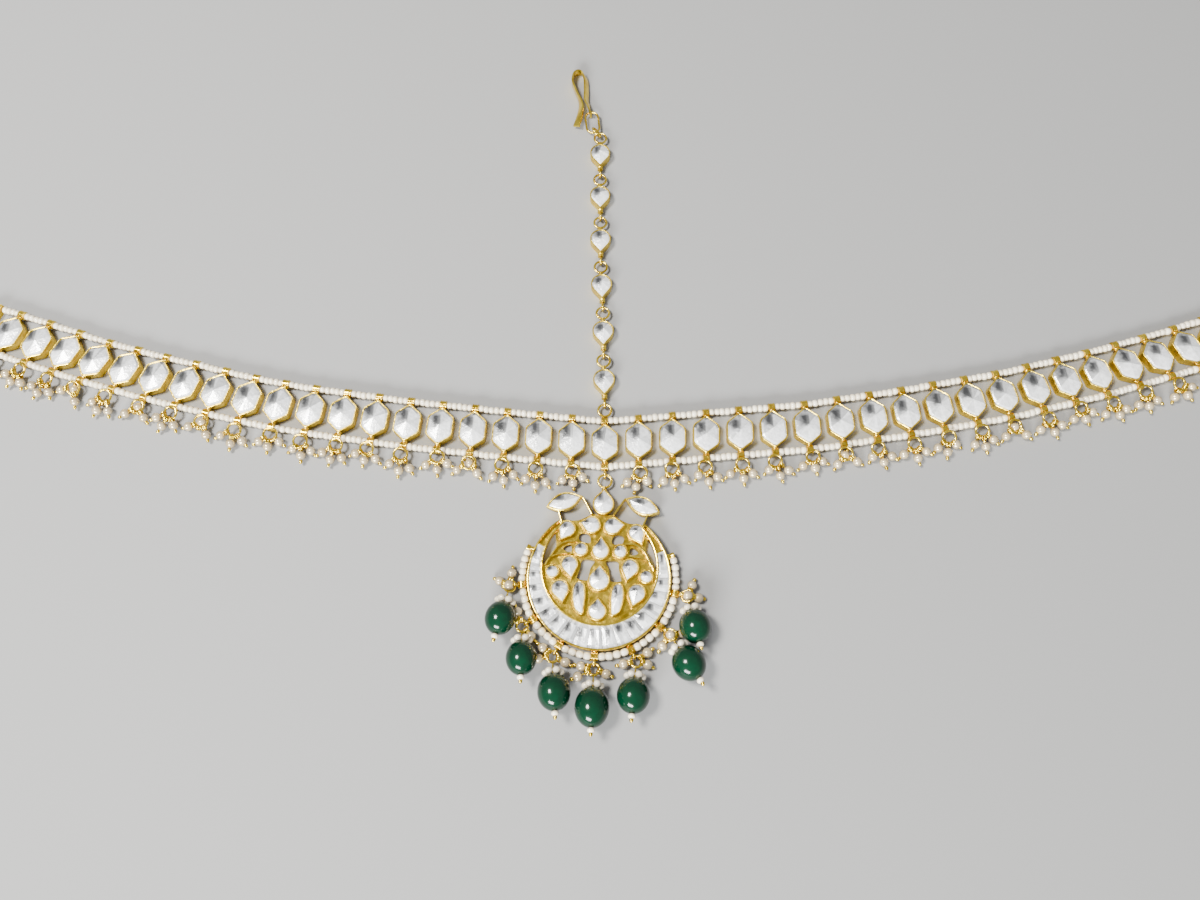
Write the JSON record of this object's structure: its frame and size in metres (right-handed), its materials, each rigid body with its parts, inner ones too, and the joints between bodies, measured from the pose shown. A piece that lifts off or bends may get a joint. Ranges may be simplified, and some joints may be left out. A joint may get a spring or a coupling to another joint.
{
  "type": "matha patti",
  "caption": "Head jewel: a band of foil-backed stones on seed-bead strings with pearl fringe, a chain of pear stones with a hook, and a crescent pendant with green drops.",
  "frame": {"origin": "centre of the back of the band's middle stone, on the surface that the jewel lies on", "axes": "+X along the band to its right end, +Y up the chain to the hook, +Z out of the jewel's front"},
  "size_m": [0.3743, 0.2028, 0.0087],
  "materials": {
    "gold": "polished gold plate",
    "seed": "cream, glossy",
    "green": "deep green, glossy"
  },
  "bodies": {
    "root": {"stone_unit_left_1": "gold", "stone_unit_left_2": "gold", "stone_unit_left_3": "gold", "stone_unit_left_4": "gold", "stone_unit_left_5": "gold", "stone_unit_left_6": "gold", "stone_unit_left_7": "gold", "stone_unit_left_8": "gold", "stone_unit_left_9": "gold", "stone_unit_left_10": "gold", "stone_unit_left_11": "gold", "stone_unit_left_12": "gold", "stone_unit_left_13": "gold", "stone_unit_left_14": "gold", "stone_unit_left_15": "gold", "stone_unit_left_16": "gold", "stone_unit_left_17": "gold", "stone_unit_left_18": "gold", "stone_unit_left_19": "gold", "stone_unit_middle": "gold", "stone_unit_right_1": "gold", "stone_unit_right_2": "gold", "stone_unit_right_3": "gold", "stone_unit_right_4": "gold", "stone_unit_right_5": "gold", "stone_unit_right_6": "gold", "stone_unit_right_7": "gold", "stone_unit_right_8": "gold", "stone_unit_right_9": "gold", "stone_unit_right_10": "gold", "stone_unit_right_11": "gold", "stone_unit_right_12": "gold", "stone_unit_right_13": "gold", "stone_unit_right_14": "gold", "stone_unit_right_15": "gold", "stone_unit_right_16": "gold", "stone_unit_right_17": "gold", "stone_unit_right_18": "gold", "stone_unit_right_19": "gold", "bead_string_upper": "seed", "bead_string_lower": "seed", "end_clasp_left": "gold", "end_clasp_right": "gold", "pear_link_1": "gold", "pear_link_2": "gold", "pear_link_3": "gold", "pear_link_4": "gold", "pear_link_5": "gold", "pear_link_6": "gold", "round_ring": "gold", "oval_ring": "gold", "hair_hook": "gold", "pendant": "gold", "green_drop_1": "green", "green_drop_2": "green", "green_drop_3": "green", "green_drop_4": "green", "green_drop_5": "green", "green_drop_6": "green", "green_drop_7": "green"}
  },
  "joints": []
}
